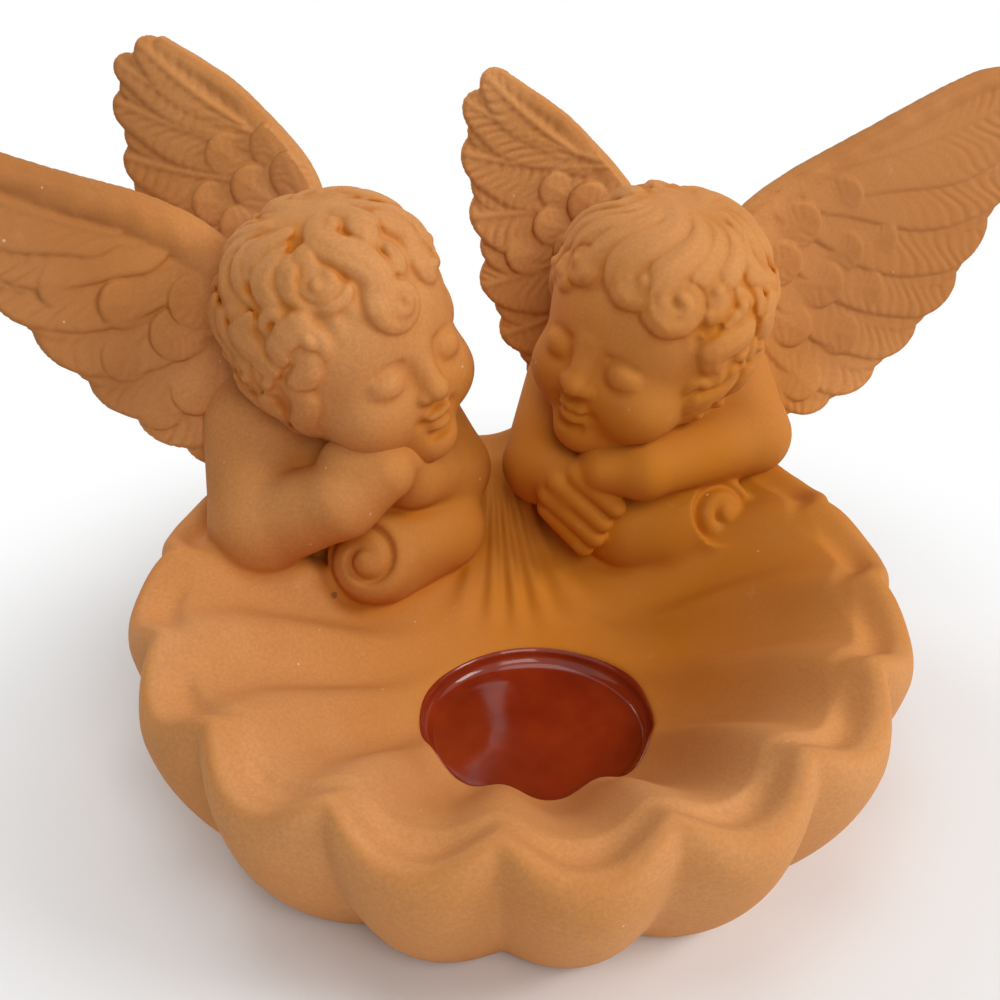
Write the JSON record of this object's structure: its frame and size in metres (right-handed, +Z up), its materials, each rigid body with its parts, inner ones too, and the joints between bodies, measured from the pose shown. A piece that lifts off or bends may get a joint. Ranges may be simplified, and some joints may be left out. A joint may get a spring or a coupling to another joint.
{
  "type": "angel candle holder",
  "caption": "Terracotta scallop-shell dish with a glazed candle well and two winged cherubs resting on its back rim.",
  "frame": {"origin": "centre of the dish's rim circle, on the plane that the foot stands on", "axes": "+Z up, -Y towards the front lobe, away from the cherubs, +X to the right as seen from the front"},
  "size_m": [0.362, 0.2327, 0.2044],
  "materials": {
    "terracotta": "matte",
    "glaze": "gloss"
  },
  "bodies": {
    "root": {"angel_candle_holder": "terracotta"}
  },
  "joints": []
}
